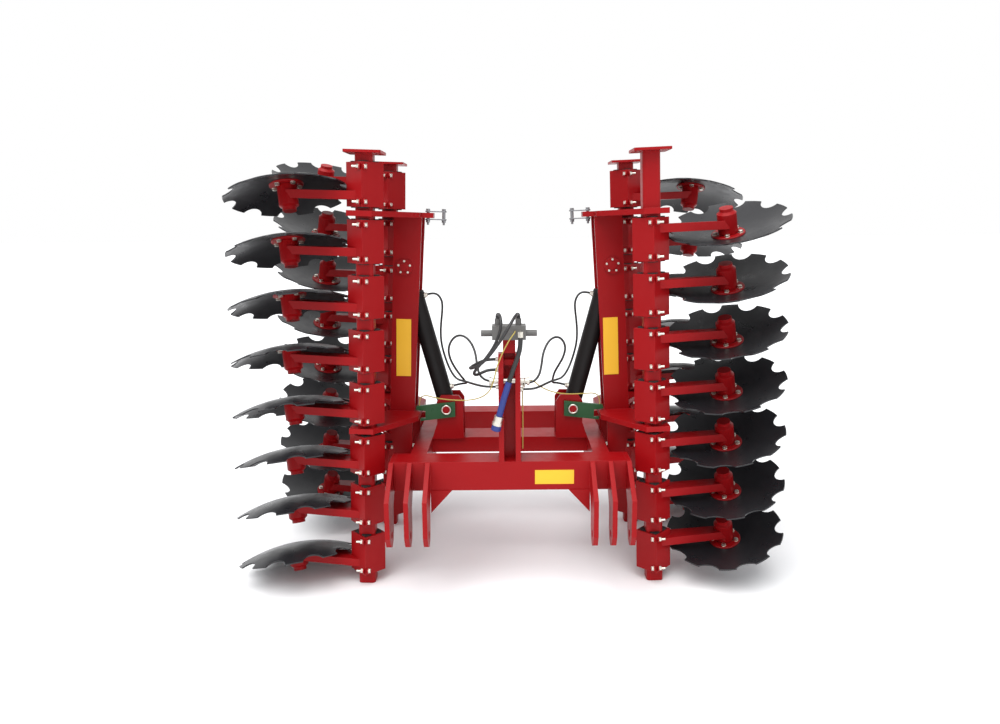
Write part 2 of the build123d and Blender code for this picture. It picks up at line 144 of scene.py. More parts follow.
sky.links.new(seen.outputs[0], blend_sky.inputs[0])
sky.links.new(sky_light.outputs[0], blend_sky.inputs[1])
sky.links.new(sky_seen.outputs[0], blend_sky.inputs[2])
sky.links.new(blend_sky.outputs[0], sky_out.inputs["Surface"])
bpy.context.scene.view_settings.view_transform = "Standard"

# %% [markdown]
# ## Finishes: what every painted edge has in common
#
# Cut plates never have razor edges: paint rounds them, they catch the light, and after a season the
# film is thin there. A shader group bends the normal near edges and gives a mask of the same place,
# so that one group serves the red paint, the black discs and the green latches.

# %% Group: soft corners
BEVEL_SAMPLES = 4
EDGE_BEGINS = 0.995
EDGE_FULL = 0.80


def new_group(name, inputs, outputs):
    """An empty shader group with named sockets, and its input and output nodes."""
    group = bpy.data.node_groups.new(name, "ShaderNodeTree")
    for label, kind, value in inputs:
        socket = group.interface.new_socket(label, in_out="INPUT", socket_type=kind)
        socket.default_value = value
    for label, kind in outputs:
        group.interface.new_socket(label, in_out="OUTPUT", socket_type=kind)
    return group, group.nodes.new("NodeGroupInput"), group.nodes.new("NodeGroupOutput")


def add_node(tree, kind, **settings):
    """A node of a tree, with its settings and the values of its named inputs."""
    node = tree.nodes.new(kind)
    for key, value in settings.items():
        if key in node.inputs:
            node.inputs[key].default_value = value
        else:
            setattr(node, key, value)
    return node


def build_soft_corners():
    """The normal with every corner rounded by Radius, and a mask of where it was rounded."""
    group, start, end = new_group(
        "soft corners",
        [("Radius", "NodeSocketFloat", 0.002)],
        [("Normal", "NodeSocketVector"), ("Edge", "NodeSocketFloat")],
    )
    link = group.links.new
    rounded = add_node(group, "ShaderNodeBevel", samples=BEVEL_SAMPLES)
    flat = add_node(group, "ShaderNodeNewGeometry")
    likeness = add_node(group, "ShaderNodeVectorMath", operation="DOT_PRODUCT")
    mask = add_node(group, "ShaderNodeMapRange")
    mask.inputs["From Min"].default_value = EDGE_BEGINS
    mask.inputs["From Max"].default_value = EDGE_FULL
    link(start.outputs["Radius"], rounded.inputs["Radius"])
    link(rounded.outputs["Normal"], likeness.inputs[0])
    link(flat.outputs["Normal"], likeness.inputs[1])
    link(likeness.outputs["Value"], mask.inputs["Value"])
    link(rounded.outputs["Normal"], end.inputs["Normal"])
    link(mask.outputs["Result"], end.inputs["Edge"])
    return group


SOFT_CORNERS = build_soft_corners()

# %% [markdown]
# A sprayed film is never quite even. Wide patches differ a little in shade, a fine orange peel
# breaks the reflections, and where hands and straps touch it the gloss dulls. The second group puts
# out a colour, a roughness and a height for that, in object coordinates, so nothing slides.

# %% Group: sprayed film
GLOSS_NOISE = (0.3, 0.7)


def build_sprayed_film():
    """Colour, roughness and height of a sprayed film, from four noises in object coordinates."""
    group, start, end = new_group(
        "sprayed film",
        [
            ("Colour", "NodeSocketColor", (0.5, 0.5, 0.5, 1)),
            ("Shade", "NodeSocketColor", (0.4, 0.4, 0.4, 1)),
            ("Edge Colour", "NodeSocketColor", (0.6, 0.6, 0.6, 1)),
            ("Edge", "NodeSocketFloat", 0.0),
            ("Edge Wear", "NodeSocketFloat", 0.3),
            ("Gloss Low", "NodeSocketFloat", 0.22),
            ("Gloss High", "NodeSocketFloat", 0.38),
        ],
        [
            ("Colour", "NodeSocketColor"),
            ("Roughness", "NodeSocketFloat"),
            ("Height", "NodeSocketFloat"),
        ],
    )
    link = group.links.new
    place = add_node(group, "ShaderNodeTexCoord")
    patches = add_node(group, "ShaderNodeTexNoise", Scale=3.2, Detail=3.0, Roughness=0.55)
    smears = add_node(group, "ShaderNodeTexNoise", Scale=11.0, Detail=5.0, Roughness=0.65)
    peel = add_node(group, "ShaderNodeTexNoise", Scale=420.0, Detail=1.0, Roughness=0.4)
    chips = add_node(group, "ShaderNodeTexNoise", Scale=55.0, Detail=4.0, Roughness=0.7)
    for noise in (patches, smears, peel, chips):
        link(place.outputs["Object"], noise.inputs["Vector"])
    tone = add_node(group, "ShaderNodeMix", data_type="RGBA")
    link(patches.outputs["Fac"], tone.inputs["Factor"])
    link(start.outputs["Colour"], tone.inputs["A"])
    link(start.outputs["Shade"], tone.inputs["B"])
    chipped = add_node(group, "ShaderNodeMath", operation="MULTIPLY")
    link(start.outputs["Edge"], chipped.inputs[0])
    link(chips.outputs["Fac"], chipped.inputs[1])
    worn = add_node(group, "ShaderNodeMath", operation="MULTIPLY")
    link(chipped.outputs[0], worn.inputs[0])
    link(start.outputs["Edge Wear"], worn.inputs[1])
    surface = add_node(group, "ShaderNodeMix", data_type="RGBA")
    link(worn.outputs[0], surface.inputs["Factor"])
    link(tone.outputs["Result"], surface.inputs["A"])
    link(start.outputs["Edge Colour"], surface.inputs["B"])
    gloss = add_node(group, "ShaderNodeMapRange")
    gloss.inputs["From Min"].default_value, gloss.inputs["From Max"].default_value = GLOSS_NOISE
    link(smears.outputs["Fac"], gloss.inputs["Value"])
    link(start.outputs["Gloss Low"], gloss.inputs["To Min"])
    link(start.outputs["Gloss High"], gloss.inputs["To Max"])
    link(surface.outputs["Result"], end.inputs["Colour"])
    link(gloss.outputs["Result"], end.inputs["Roughness"])
    link(peel.outputs["Fac"], end.inputs["Height"])
    return group


SPRAYED_FILM = build_sprayed_film()

# %% [markdown]
# With the two groups a painted finish is short: corners and film feed one Principled shader, and a
# weak bump carries the orange peel. What is the same all over, such as the specular level, is set on
# the shader's own socket.

# %% Painted finishes
def painted(name, colour, shade, edge, wear, gloss, corner=0.0022, peel=0.00012, shine=0.3):
    """A sprayed finish: colour, darker shade, colour of worn edges, and lowest and highest roughness."""
    finish = bpy.data.materials.new(name)
    finish.use_nodes = True
    tree = finish.node_tree
    shader = tree.nodes["Principled BSDF"]
    corners = add_node(tree, "ShaderNodeGroup", node_tree=SOFT_CORNERS)
    corners.inputs["Radius"].default_value = corner
    film = add_node(tree, "ShaderNodeGroup", node_tree=SPRAYED_FILM)
    film.inputs["Colour"].default_value = (*colour, 1)
    film.inputs["Shade"].default_value = (*shade, 1)
    film.inputs["Edge Colour"].default_value = (*edge, 1)
    film.inputs["Edge Wear"].default_value = wear
    film.inputs["Gloss Low"].default_value, film.inputs["Gloss High"].default_value = gloss
    bump = add_node(tree, "ShaderNodeBump", Strength=0.5, Distance=peel)
    link = tree.links.new
    link(corners.outputs["Edge"], film.inputs["Edge"])
    link(corners.outputs["Normal"], bump.inputs["Normal"])
    link(film.outputs["Height"], bump.inputs["Height"])
    link(film.outputs["Colour"], shader.inputs["Base Color"])
    link(film.outputs["Roughness"], shader.inputs["Roughness"])
    link(bump.outputs["Normal"], shader.inputs["Normal"])
    shader.inputs["Specular IOR Level"].default_value = shine
    return finish


RED = painted(
    "red paint", colour=(0.325, 0.0042, 0.0060), shade=(0.270, 0.003, 0.005), edge=(0.50, 0.06, 0.07),
    wear=0.5, gloss=(0.30, 0.46), shine=0.16,
)
DISC_BLACK = painted(
    "disc black", colour=(0.018, 0.018, 0.021), shade=(0.010, 0.010, 0.012), edge=(0.13, 0.13, 0.13),
    wear=0.6, gloss=(0.24, 0.42), corner=0.0012, shine=0.42,
)
CYLINDER_BLACK = painted(
    "cylinder black", colour=(0.014, 0.012, 0.012), shade=(0.009, 0.008, 0.008),
    edge=(0.08, 0.08, 0.08), wear=0.4, gloss=(0.32, 0.48), shine=0.16,
)
LATCH_GREEN = painted(
    "latch green", colour=(0.018, 0.098, 0.030), shade=(0.012, 0.070, 0.022), edge=(0.12, 0.25, 0.13),
    wear=0.5, gloss=(0.26, 0.42),
)
VALVE_GREY = painted(
    "valve grey", colour=(0.150, 0.146, 0.142), shade=(0.105, 0.102, 0.098), edge=(0.26, 0.26, 0.26),
    wear=0.5, gloss=(0.40, 0.60), peel=0.0003,
)
PLATE_YELLOW = painted(
    "sticker yellow", colour=(0.93, 0.52, 0.030), shade=(0.88, 0.47, 0.026), edge=(0.93, 0.62, 0.20),
    wear=0.2, gloss=(0.30, 0.42), corner=0.0004, peel=0.00003,
)
print("painted finishes", len([m for m in bpy.data.materials if m.use_nodes]))

# %% [markdown]
# ## Bare metal and rubber
#
# Bolts and fittings are zinc plated, with the faint yellow cloud of a passivated surface. The rods
# of the cylinders are hard chrome, smooth and bright, and a few bars are bare steel. Rubber is nearly
# black and dull.

# %% Metal and rubber finishes
GRAIN_FINER = 14
METAL_CORNER = 0.0008


def plain_finish(name, light, dark, scale, roughness, metallic, bump_size):
    """A finish of two tones in a noise, with its roughness range and a fine bump."""
    finish = bpy.data.materials.new(name)
    finish.use_nodes = True
    tree = finish.node_tree
    shader = tree.nodes["Principled BSDF"]
    link = tree.links.new
    place = add_node(tree, "ShaderNodeTexCoord")
    cloud = add_node(tree, "ShaderNodeTexNoise", Scale=scale, Detail=4.0, Roughness=0.6)
    grain = add_node(tree, "ShaderNodeTexNoise", Scale=scale * GRAIN_FINER, Detail=2.0, Roughness=0.5)
    for noise in (cloud, grain):
        link(place.outputs["Object"], noise.inputs["Vector"])
    tone = add_node(tree, "ShaderNodeMix", data_type="RGBA")
    tone.inputs["A"].default_value = (*light, 1)
    tone.inputs["B"].default_value = (*dark, 1)
    link(cloud.outputs["Fac"], tone.inputs["Factor"])
    dull = add_node(tree, "ShaderNodeMapRange")
    dull.inputs["To Min"].default_value, dull.inputs["To Max"].default_value = roughness
    link(cloud.outputs["Fac"], dull.inputs["Value"])
    corners = add_node(tree, "ShaderNodeGroup", node_tree=SOFT_CORNERS)
    corners.inputs["Radius"].default_value = METAL_CORNER
    bump = add_node(tree, "ShaderNodeBump", Strength=0.4, Distance=bump_size)
    link(corners.outputs["Normal"], bump.inputs["Normal"])
    link(grain.outputs["Fac"], bump.inputs["Height"])
    link(tone.outputs["Result"], shader.inputs["Base Color"])
    link(dull.outputs["Result"], shader.inputs["Roughness"])
    link(bump.outputs["Normal"], shader.inputs["Normal"])
    shader.inputs["Metallic"].default_value = metallic
    return finish


ZINC = plain_finish(
    "zinc plate", light=(0.76, 0.74, 0.68), dark=(0.58, 0.55, 0.47), scale=40.0, roughness=(0.26, 0.46),
    metallic=1.0, bump_size=0.00008,
)
CHROME = plain_finish(
    "hard chrome", light=(0.82, 0.82, 0.84), dark=(0.72, 0.72, 0.75), scale=6.0, roughness=(0.07, 0.16),
    metallic=1.0, bump_size=0.00002,
)
BARE_STEEL = plain_finish(
    "bare steel", light=(0.30, 0.30, 0.31), dark=(0.19, 0.19, 0.20), scale=40.0, roughness=(0.34, 0.52),
    metallic=1.0, bump_size=0.0001,
)
RUBBER = plain_finish(
    "spring rubber", light=(0.020, 0.019, 0.018), dark=(0.010, 0.010, 0.010), scale=30.0,
    roughness=(0.62, 0.85), metallic=0.0, bump_size=0.0004,
)

# %% Give every CAD node its finish
SLOT_FINISH = {
    "red_paint": RED,
    "disc_steel": DISC_BLACK,
    "rubber": RUBBER,
    "cylinder_black": CYLINDER_BLACK,
    "rod_chrome": CHROME,
    "zinc": ZINC,
    "latch_green": LATCH_GREEN,
    "valve_grey": VALVE_GREY,
}
for part in frame["record"]["subparts"]:
    node = nodes[part["node"]]
    finish = SLOT_FINISH.get(part["material_slot"], RED)
    if not node.material_slots:
        node.data.materials.append(finish)
    for slot in node.material_slots:
        slot.material = finish

# %% [markdown]
# ## Where things sit on a wing
#
# The wings lean a little, so a clamp's place is easiest to say along its beam. The spin joint of each
# disc gives its place, and the middle of its clamp lies one arm away from it.

# %% Places on the wings
SIDES = {"left": -1, "right": 1}
WING_LEAN = radians(2.14)
ARM_REACH = 0.368
ARM_TRAIL = 0.057


def wing_turn(side):
    """Turn of a wing's own axes: Z runs up its beams."""
    return Matrix.Rotation(-side * WING_LEAN, 4, "Y")


def clamp_places(wing, row):
    """Middle of each clamp of a row, from the discs' spin joints."""
    side = SIDES[wing]
    arm = wing_turn(side) @ Vector((side * ARM_REACH, ARM_TRAIL, 0))
    names = sorted(name for name in joints if name.startswith(f"spin_{row}_{wing}_"))
    return [Vector(joints[name]["pos_m"]) - arm for name in names]


print("first clamp, left front", tuple(round(v, 3) for v in clamp_places("left", "front")[0]))

# %% [markdown]
# ## Small things made once and copied
#
# Each small piece is modelled at the origin as by hand, then copied with its own mesh to every
# place, and the copies are joined to one object for each body that carries them.

# %% Helpers for copied pieces
def start_fresh():
    """Leave edit mode and deselect everything, so that an operator acts on the new piece alone."""
    if bpy.context.object and bpy.context.object.mode != "OBJECT":
        bpy.ops.object.mode_set(mode="OBJECT")
    bpy.ops.object.select_all(action="DESELECT")


def settle(piece):
    """Put a piece's place into its mesh."""
    piece.data.transform(piece.matrix_basis)
    piece.matrix_basis = Matrix.Identity(4)


def join(pieces, name):
    """Join pieces to one object at the origin."""
    for piece in pieces:
        settle(piece)
    start_fresh()
    for piece in pieces:
        piece.select_set(True)
    bpy.context.view_layer.objects.active = pieces[0]
    if len(pieces) > 1:
        bpy.ops.object.join()
    joined = bpy.context.object
    joined.name = name
    joined.data.name = name
    return joined


def copies(pattern, places, name):
    """Copies of a pattern piece at each matrix, each with its own mesh, joined; the pattern stays."""
    made = []
    for place in places:
        piece = pattern.copy()
        piece.data = pattern.data.copy()
        piece.matrix_basis = place
        bpy.context.scene.collection.objects.link(piece)
        made.append(piece)
    return join(made, name)


def drop(*patterns):
    """Remove pattern pieces once their copies are made."""
    for pattern in patterns:
        bpy.data.objects.remove(pattern)


def placed(piece, matrix):
    """The same piece, put at a matrix."""
    piece.matrix_basis = matrix
    return piece


def as_mesh(piece):
    """The same piece, turned from a curve into a mesh."""
    start_fresh()
    piece.select_set(True)
    bpy.context.view_layer.objects.active = piece
    bpy.ops.object.convert(target="MESH")
    return bpy.context.object


def dress(piece, finish, body):
    """Give a piece its finish and the body that carries it."""
    piece.data.materials.clear()
    piece.data.materials.append(finish)
    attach(piece, body)
    return piece


def along(axis, place):
    """A matrix that sends +Z to an axis, at a place."""
    return Matrix.Translation(place) @ Vector(axis).to_track_quat("Z", "Y").to_matrix().to_4x4()


def select_faces(piece, wanted):
    """In edit mode, select the faces whose centre and normal pass a test."""
    bpy.ops.mesh.select_all(action="DESELECT")
    bpy.ops.object.mode_set(mode="OBJECT")
    for face in piece.data.polygons:
        face.select = wanted(face.center, face.normal)
    bpy.ops.object.mode_set(mode="EDIT")
    bpy.ops.mesh.select_mode(type="FACE")


# %% [markdown]
# ## Hexagon bolts
#
# A bolt head is a hexagon with its top corners turned off, and a nut is the same with a thread that
# stands out of it. The head starts as a six sided cylinder, its top face is inset and raised to the
# chamfer, and the washer below is a low cylinder with a bevelled rim. All the sizes of a bolt are
# shares of its size across the flats.

# %% Model a bolt head and a nut
TOP_FACING = 0.9
CHAMFER = 0.09
CHAMFER_RISE = 0.045
RIM_RISE = 0.7
WASHER_RADIUS = 0.62
WASHER_HEIGHT = 0.10
WASHER_RIM = 0.02
HEAD_FOOT = 0.12
HEAD_HEIGHT = 0.42
NUT_HEIGHT = 0.50
THREAD_RADIUS = 0.29
THREAD_FOOT = 0.6
THREAD_RIM = 0.05
THREAD_SIDES = 16
ROUND_SIDES = 24


def prism(name, sides, radius, height, base, rim, rise):
    """A prism from base up, whose top face is inset by rim and raised by rise."""
    start_fresh()
    bpy.ops.mesh.primitive_cylinder_add(
        vertices=sides, radius=radius, depth=height, location=(0, 0, base + height / 2)
    )
    piece = bpy.context.object
    piece.name = name
    settle(piece)
    if rim:
        bpy.ops.object.mode_set(mode="EDIT")
        select_faces(piece, lambda centre, normal: normal.z > TOP_FACING)
        bpy.ops.mesh.inset(thickness=rim, depth=rise)
        bpy.ops.object.mode_set(mode="OBJECT")
    return piece


def hexagon(name, across, height, base=0.0):
    """A hexagon of a size across its flats, from base up, with a chamfered top."""
    return prism(name, 6, across / sqrt(3), height, base, across * CHAMFER, across * CHAMFER_RISE)


def disc_piece(name, radius, height, base=0.0, sides=ROUND_SIDES, rim=0.0):
    """A round piece from base up, with a bevelled top rim."""
    return prism(name, sides, radius, height, base, rim, rim * RIM_RISE)


def washer_for(across):
    """The washer of a bolt."""
    return disc_piece("washer", across * WASHER_RADIUS, across * WASHER_HEIGHT, rim=across * WASHER_RIM)


def bolt_head(name, across):
    """Washer and hexagon head."""
    head = hexagon("head", across, across * HEAD_HEIGHT, base=across * HEAD_FOOT)
    return join([washer_for(across), head], name)


def nut_end(name, across, thread_out):
    """Washer, nut and the bolt's thread end."""
    nut = hexagon("nut", across, across * NUT_HEIGHT, base=across * HEAD_FOOT)
    thread = disc_piece(
        "thread", across * THREAD_RADIUS, thread_out, across * THREAD_FOOT, THREAD_SIDES, across * THREAD_RIM
    )
    return join([washer_for(across), nut, thread], name)


# %% [markdown]
# ## Clamp bolts
#
# Two bolts pull the halves of each clamp together close to its front corner, with the thread end
# outboard, and two more do the same at the rear corner. They lie across the corner, so head and nut
# bear on two small welded pads on the slanted faces of the housing.

# %% Bolt the clamps
CLAMP_BOLT_ACROSS = 0.019
CLAMP_BOLT_UP = 0.0755
CLAMP_BOLT_BACK = 0.075
CLAMP_THREAD_OUT = 0.020
CLAMP_CORNER = 0.0834
CLAMP_SEAT_OUT = 0.004
PAD_RADIUS = 0.014
PAD_DEPTH = 0.006
PAD_RIM = 0.0015

head_pattern = bolt_head("clamp_head_pattern", CLAMP_BOLT_ACROSS)
nut_pattern = nut_end("clamp_nut_pattern", CLAMP_BOLT_ACROSS, CLAMP_THREAD_OUT)
pad_pattern = disc_piece("clamp_pad_pattern", PAD_RADIUS, PAD_DEPTH, rim=PAD_RIM)
seat = CLAMP_CORNER - CLAMP_BOLT_BACK + CLAMP_SEAT_OUT
corners = [
    (back, up) for up in (-CLAMP_BOLT_UP, CLAMP_BOLT_UP) for back in (-CLAMP_BOLT_BACK, CLAMP_BOLT_BACK)
]
for wing, side in SIDES.items():
    heads, nuts, pads = [], [], []
    turn = wing_turn(side)
    inward = turn @ Vector((-side, 0, 0))
    for middle in clamp_places(wing, "front") + clamp_places(wing, "rear"):
        for back, up in corners:
            inner = middle + turn @ Vector((-side * seat, back, up))
            outer = middle + turn @ Vector((side * seat, back, up))
            heads.append(along(inward, inner))
            nuts.append(along(-inward, outer))
            pads.append(along(inward, inner - inward * PAD_DEPTH))
            pads.append(along(-inward, outer + inward * PAD_DEPTH))
    bolts = [copies(head_pattern, heads, "heads"), copies(nut_pattern, nuts, "nuts")]
    dress(join(bolts, f"clamp_bolts_{wing}"), ZINC, f"wing_{wing}")
    dress(copies(pad_pattern, pads, f"clamp_pads_{wing}"), RED, f"wing_{wing}")
    print(wing, "clamp bolts", len(heads))
drop(head_pattern, nut_pattern, pad_pattern)

# %% [markdown]
# ## Disc flanges
#
# Each disc is bolted to a red flange ring that turns with the hub's shaft. Five bolts stand on it in
# a circle. One piece of ring and one of bolts ride with each disc, so they turn with it.

# %% Flange rings and their bolts
FLANGE_RADIUS = 0.077
FLANGE_LOW = 0.002
FLANGE_SEAT = 0.0132
FLANGE_TOP = 0.0135
FLANGE_CHAMFER = 0.003
FLANGE_SIDES = 48
FLANGE_BOLTS = 5
FLANGE_BOLT_CIRCLE = 0.059
FLANGE_BOLT_ACROSS = 0.019
HUB_CLEAR_RADIUS = 0.046
FLANGE_PROFILE = (
    # radius and height of each corner of the ring's section, after the first one
    (FLANGE_RADIUS - FLANGE_CHAMFER, FLANGE_TOP),
    (FLANGE_RADIUS, FLANGE_TOP - FLANGE_CHAMFER),
    (FLANGE_RADIUS, FLANGE_LOW),
    (HUB_CLEAR_RADIUS, FLANGE_LOW),
)


def flange_ring():
    """A ring round the hub's foot: a circle that is extruded from corner to corner of the section."""
    start_fresh()
    bpy.ops.mesh.primitive_circle_add(vertices=FLANGE_SIDES, radius=HUB_CLEAR_RADIUS, fill_type="NOTHING")
    ring = bpy.context.object
    bpy.ops.object.mode_set(mode="EDIT")
    bpy.ops.mesh.select_all(action="SELECT")
    bpy.ops.transform.translate(value=(0, 0, FLANGE_TOP))
    radius, height = HUB_CLEAR_RADIUS, FLANGE_TOP
    for next_radius, next_height in FLANGE_PROFILE:
        bpy.ops.mesh.extrude_edges_move(TRANSFORM_OT_translate={"value": (0, 0, next_height - height)})
        grow = next_radius / radius
        bpy.ops.transform.resize(value=(grow, grow, 1))
        radius, height = next_radius, next_height
    bpy.ops.mesh.select_all(action="SELECT")
    bpy.ops.mesh.normals_make_consistent(inside=False)
    bpy.ops.object.mode_set(mode="OBJECT")
    return ring


def on_circle(count, radius, height=0.0, first=0.0):
    """Matrices of places spread evenly on a circle round Z."""
    spot = Matrix.Translation((radius, 0, height))
    return [Matrix.Rotation(2 * pi * index / count + first, 4, "Z") @ spot for index in range(count)]


ring_pattern = flange_ring()
flange_bolt = bolt_head("flange_bolt_pattern", FLANGE_BOLT_ACROSS)
circle = on_circle(FLANGE_BOLTS, FLANGE_BOLT_CIRCLE, FLANGE_SEAT)
bolt_circle = copies(flange_bolt, circle, "flange_bolt_circle")
for name, joint in joints.items():
    if name.startswith("spin_"):
        disc = joint["child"]
        place = along(joint["axis"], joint["pos_m"])
        dress(copies(ring_pattern, [place], disc.replace("disc", "flange")), RED, disc)
        dress(copies(bolt_circle, [place], disc.replace("disc", "flange_bolts")), ZINC, disc)
drop(ring_pattern, flange_bolt, bolt_circle)

# %% [markdown]
# ## Machine sizes that the small pieces need
#
# These few sizes are the machine's own, in metres: the faces that a plate is stuck to, the ends of
# the pins and the line of the cylinders. A point on a wing is given by its reach inboard, its place
# from front to back and its height along the beam.

# %% Faces, pins and cylinder lines
BEAM_FOOT = (0.7087, 0.0015)
SPINE_FACE_Y = -0.0928
BOSS_FACE_Y = -0.1053
BEAM_FACE_Y = -0.4678
BASE_PIN = Vector((0.325, -0.0178, 0.795))
BASE_PIN_FRONT_Y = -0.1108
UPPER_PIN_IN = 0.137
UPPER_PIN_ALONG = 1.526
BARREL_RADIUS = 0.045
BARREL_LENGTH = 0.612
FACING_FRONT = Matrix.Rotation(pi / 2, 4, "X")


def on_wing(side, inboard, y, up):
    """A point of a wing in the machine's frame."""
    foot_x, foot_z = BEAM_FOOT
    return Vector((side * foot_x, 0, foot_z)) + wing_turn(side) @ Vector((-side * inboard, y, up))


def front_of_wing(side, inboard, y, up):
    """A matrix on a wing with +Z out of the front face and +Y up the beam."""
    return Matrix.Translation(on_wing(side, inboard, y, up)) @ wing_turn(side) @ FACING_FRONT


# %% [markdown]
# ## Bare plates, boss rings and latch rings
#
# Three yellow plates, kept bare, sit where such a machine carries its plates. The boss over each
# upper cylinder pin has a ring of five small screws, and the pin of each latch ends in a zinc ring
# round a painted face.

# %% Yellow plates
WING_PLATE_SIZE = (0.074, 0.292)
WING_PLATE_IN = {"left": 0.134, "right": 0.152}
WING_PLATE_UP = 1.121
BEAM_PLATE_SIZE = (0.184, 0.069)
BEAM_PLATE_PLACE = (0.209, BEAM_FACE_Y, 0.556)
PLATE_THICKNESS = 0.0012
PLATE_RIM = 0.0008
PLATE_RIM_RISE = 0.5


def plate(name, outline, thickness, rim=PLATE_RIM):
    """A flat plate from an outline in the XY plane, raised along +Z, with a soft rim on its top."""
    start_fresh()
    mesh = bpy.data.meshes.new(name)
    mesh.from_pydata([(x, y, 0) for x, y in outline], [], [range(len(outline))])
    piece = bpy.data.objects.new(name, mesh)
    bpy.context.scene.collection.objects.link(piece)
    bpy.context.view_layer.objects.active = piece
    piece.select_set(True)
    bpy.ops.object.mode_set(mode="EDIT")
    bpy.ops.mesh.select_all(action="SELECT")
    bpy.ops.mesh.extrude_region_move(TRANSFORM_OT_translate={"value": (0, 0, thickness)})
    bpy.ops.mesh.inset(thickness=rim, depth=rim * PLATE_RIM_RISE)
    bpy.ops.mesh.select_all(action="SELECT")
    bpy.ops.mesh.normals_make_consistent(inside=False)
    bpy.ops.object.mode_set(mode="OBJECT")
    return piece


def bare_plate(name, size, matrix, body):
    """A yellow plate of a width and height, at a matrix."""
    corners = [(x * size[0] / 2, y * size[1] / 2) for x, y in ((-1, -1), (1, -1), (1, 1), (-1, 1))]
    piece = placed(plate(name, corners, PLATE_THICKNESS), matrix)
    return dress(join([piece], name), PLATE_YELLOW, body)


for wing, side in SIDES.items():
    matrix = front_of_wing(side, WING_PLATE_IN[wing], SPINE_FACE_Y, WING_PLATE_UP)
    bare_plate(f"bare_plate_{wing}", WING_PLATE_SIZE, matrix, f"wing_{wing}")
matrix = Matrix.Translation(BEAM_PLATE_PLACE) @ FACING_FRONT
bare_plate("bare_plate_beam", BEAM_PLATE_SIZE, matrix, "root")

# %% Boss screws and latch rings
BOSS_SCREWS = 5
BOSS_SCREW_CIRCLE = 0.030
BOSS_SCREW_ACROSS = 0.009
BOSS_FIRST_SCREW = pi / 10
BOSS_CAP = {"radius": 0.021, "height": 0.006, "sides": 32, "rim": 0.002}
PIN_RING = {"major_radius": 0.0215, "minor_radius": 0.0038, "major_segments": 40, "minor_segments": 10}
PIN_RING_LIFT = 0.0015
PIN_FACE = {"radius": 0.0185, "height": 0.003, "sides": 32, "rim": 0.003}

screw_pattern = bolt_head("boss_screw_pattern", BOSS_SCREW_ACROSS)
for wing, side in SIDES.items():
    middle = front_of_wing(side, UPPER_PIN_IN, BOSS_FACE_Y, UPPER_PIN_ALONG)
    spots = [middle @ spot for spot in on_circle(BOSS_SCREWS, BOSS_SCREW_CIRCLE, first=BOSS_FIRST_SCREW)]
    dress(copies(screw_pattern, spots, f"boss_screws_{wing}"), ZINC, f"wing_{wing}")
    cap = placed(disc_piece("cap", **BOSS_CAP), middle)
    dress(join([cap], f"boss_cap_{wing}"), RED, f"wing_{wing}")

    pin_end = Matrix.Translation((side * BASE_PIN.x, BASE_PIN_FRONT_Y, BASE_PIN.z)) @ FACING_FRONT
    bpy.ops.mesh.primitive_torus_add(**PIN_RING)
    ring = placed(bpy.context.object, pin_end @ Matrix.Translation((0, 0, PIN_RING_LIFT)))
    dress(join([ring], f"latch_ring_{wing}"), ZINC, "root")
    face = placed(disc_piece("face", **PIN_FACE), pin_end)
    dress(join([face], f"latch_pin_face_{wing}"), RED, "root")
drop(screw_pattern)

# %% [markdown]
# ## Forks at the top ribs
#
# The nose of each upper rib ends in a fork of two steel bars with a bolt at the tip and another
# through the rib. A bar is one capsule outline, raised to its thickness.

# %% Model the forks
FORK_IN = 0.248
FORK_LENGTH = 0.078
FORK_UP = 1.7805
FORK_Y = -0.053
FORK_HALF_GAP = 0.0165
FORK_BAR_WIDTH = 0.028
FORK_BAR_THICKNESS = 0.005
FORK_TURNS = 10
FORK_BOLT_ACROSS = 0.019
FORK_THREAD_OUT = 0.012
FORK_SHANK_RADIUS = 0.008
FORK_SHANK_SIDES = 20


def half_circle(middle, radius, start, turns):
    """Points of a half circle round a middle on the X axis, from a start angle in half turns."""
    angles = [pi * (index / turns + start) for index in range(turns + 1)]
    return [(middle + radius * cos(angle), radius * sin(angle)) for angle in angles]


def capsule(length, width, turns):
    """A bar outline with round ends, from its first bolt at the origin to its second at +X."""
    return half_circle(length, width / 2, -0.5, turns) + half_circle(0, width / 2, 0.5, turns)


outline = capsule(FORK_LENGTH, FORK_BAR_WIDTH, FORK_TURNS)
bar_pattern = plate("fork_bar_pattern", outline, FORK_BAR_THICKNESS)
fork_head = bolt_head("fork_head_pattern", FORK_BOLT_ACROSS)
fork_nut = nut_end("fork_nut_pattern", FORK_BOLT_ACROSS, FORK_THREAD_OUT)
high = FORK_HALF_GAP + FORK_BAR_THICKNESS
for wing, side in SIDES.items():
    foot = Matrix.Translation(on_wing(side, FORK_IN, FORK_Y, FORK_UP)) @ wing_turn(side)
    inboard = foot @ Matrix.Rotation(pi if side > 0 else 0, 4, "Z")
    levels = [inboard @ Matrix.Translation((0, 0, level)) for level in (FORK_HALF_GAP, -high)]
    parts = [copies(bar_pattern, levels, "bars")]
    for reach in (0, FORK_LENGTH):
        above = inboard @ Matrix.Translation((reach, 0, high))
        below = inboard @ Matrix.Translation((reach, 0, -high)) @ Matrix.Rotation(pi, 4, "X")
        shank = disc_piece("shank", FORK_SHANK_RADIUS, 2 * high, -high, FORK_SHANK_SIDES)
        parts.append(copies(fork_head, [above], "end"))
        parts.append(copies(fork_nut, [below], "end"))
        parts.append(placed(shank, inboard @ Matrix.Translation((reach, 0, 0))))
    dress(join(parts, f"rib_fork_{wing}"), BARE_STEEL, f"wing_{wing}")
drop(bar_pattern, fork_head, fork_nut)

# %% [markdown]
# ## Cylinder fittings
#
# Near its foot and near its gland each barrel has a welded port on the inboard side, with a hexagon
# fitting that the hose ends in. The gland itself is a collar round the rod.

